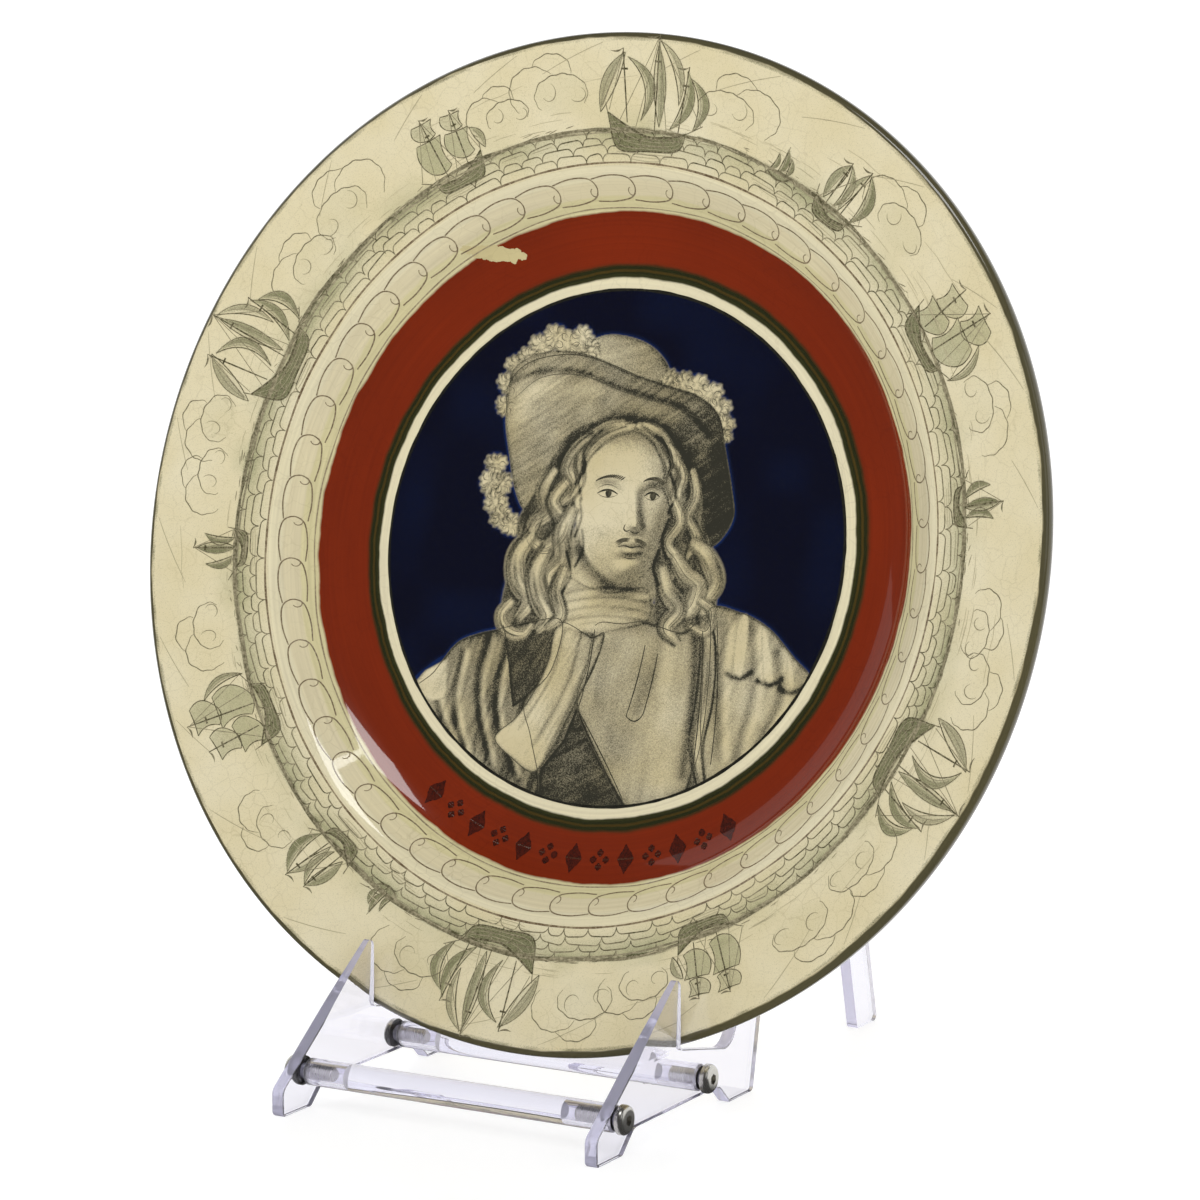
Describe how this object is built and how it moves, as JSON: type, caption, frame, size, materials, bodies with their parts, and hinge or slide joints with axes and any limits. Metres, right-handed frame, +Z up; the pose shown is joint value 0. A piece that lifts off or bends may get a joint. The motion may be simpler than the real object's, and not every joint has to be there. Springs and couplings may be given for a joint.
{
  "type": "plate display stand",
  "caption": "Clear folding easel with two pronged side rails, tie rods and a hinged rear leg, carrying a round plate.",
  "frame": {"origin": "on the table, in the middle of the footprint of the open stand with its plate", "axes": "+X to the right seen from the front, the plate faces -Y and leans back, +Z up"},
  "size_m": [0.2666, 0.1652, 0.2734],
  "materials": {
    "clear_acrylic": "clear cast acrylic with polished edges and a faint violet tint",
    "stainless_steel": "turned stainless steel",
    "nylon": "natural nylon",
    "glazed_earthenware": "cream earthenware under a glossy, finely crazed glaze, printed and hand coloured"
  },
  "bodies": {
    "front_frame": {"toe_tie_rod": "clear_acrylic", "base_tie_rod": "clear_acrylic", "stop_bar": "clear_acrylic", "hinge_rod": "stainless_steel", "rail_left": "clear_acrylic", "toe_tie_screw_left": "stainless_steel", "base_tie_screw_left": "stainless_steel", "stop_bar_screw_left": "stainless_steel", "hinge_nut_left": "stainless_steel", "rail_right": "clear_acrylic", "toe_tie_screw_right": "stainless_steel", "base_tie_screw_right": "stainless_steel", "stop_bar_screw_right": "stainless_steel", "hinge_nut_right": "stainless_steel"},
    "rear_leg": {"leg_left": "clear_acrylic", "leg_right": "clear_acrylic", "leg_tie_rod": "clear_acrylic", "leg_tie_screw_left": "stainless_steel", "leg_tie_screw_right": "stainless_steel", "hinge_spacer": "clear_acrylic", "hinge_washer_left": "nylon", "hinge_washer_right": "nylon"},
    "plate": {"plate": "glazed_earthenware"}
  },
  "joints": [
    {"name": "leg_fold", "type": "hinge", "parent": "front_frame", "child": "rear_leg", "pos_m": [0, 0.03129, 0.18285], "axis": [-1, 0, 0], "range_deg": [0, 26]},
    {"name": "plate_lift", "type": "slide", "parent": "front_frame", "child": "plate", "axis": [0, 0.2079, 0.9781], "range_m": [0, 0.21]}
  ]
}
